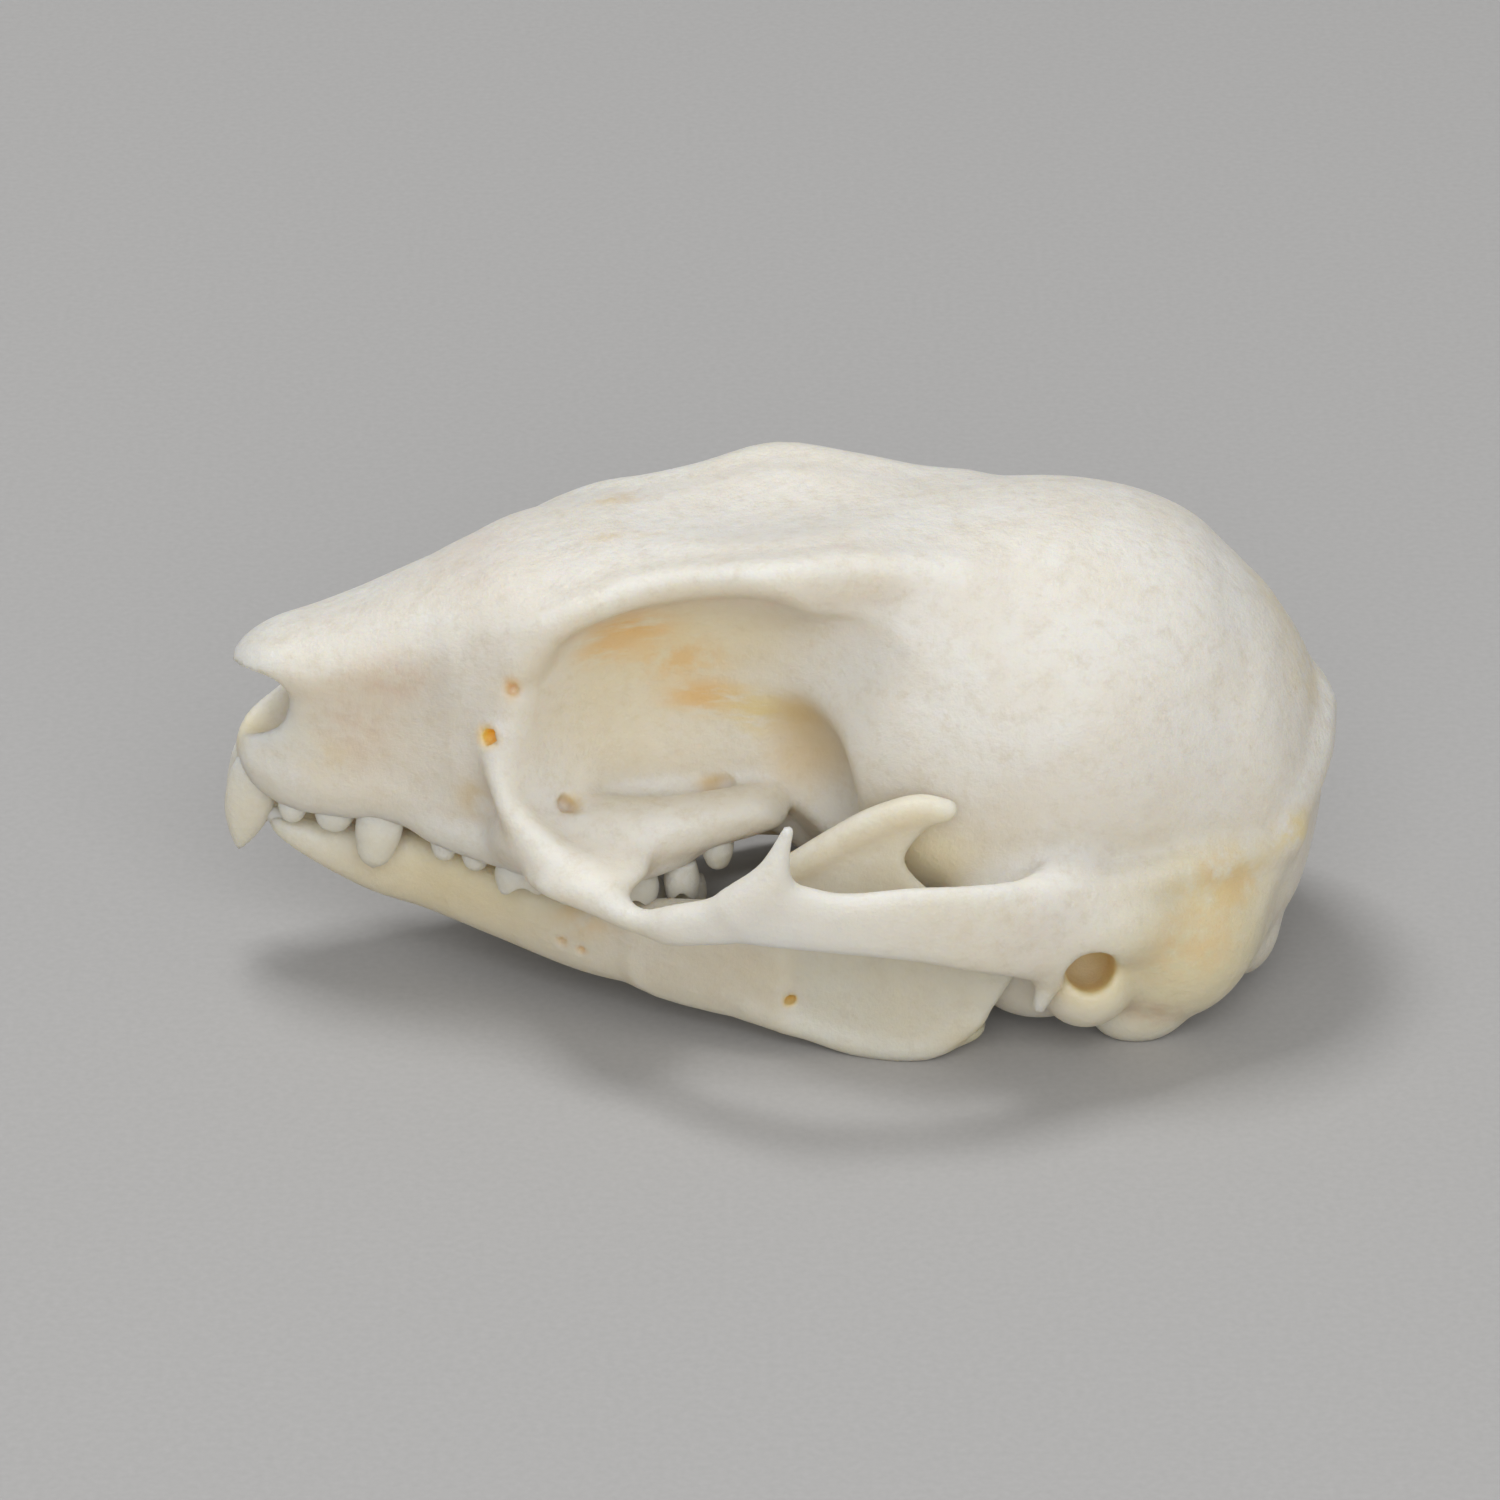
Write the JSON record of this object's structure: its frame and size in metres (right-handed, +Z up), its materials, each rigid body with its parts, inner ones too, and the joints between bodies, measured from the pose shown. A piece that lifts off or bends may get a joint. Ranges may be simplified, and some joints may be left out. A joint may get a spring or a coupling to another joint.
{
  "type": "sugar glider skull",
  "caption": "Life-size skull of a small gliding possum with its jaw closed, large orbits, slender cheekbones and a rounded braincase, resting on a flat surface.",
  "frame": {"origin": "centre of the skull's box, on the surface that it rests on", "axes": "+X from the snout to the back of the head, +Y to the skull's right side, +Z up"},
  "size_m": [0.0401, 0.025, 0.0181],
  "materials": {
    "face_bone": "dry cleaned bone, slightly pink, satin, with enamelled teeth",
    "cranium_bone": "dry cleaned bone, warm white with yellow stains, satin",
    "jaw_bone": "dry cleaned bone, thin and slightly translucent, satin",
    "enamel": "tooth enamel, glossier than the bone"
  },
  "bodies": {
    "root": {"face": "face_bone", "forehead": "cranium_bone", "braincase": "cranium_bone", "occiput": "cranium_bone", "cheekbone_left": "cranium_bone", "ear_capsule_left": "cranium_bone", "lower_jaw_left": "jaw_bone", "cheekbone_right": "cranium_bone", "ear_capsule_right": "cranium_bone", "lower_jaw_right": "jaw_bone"}
  },
  "joints": []
}
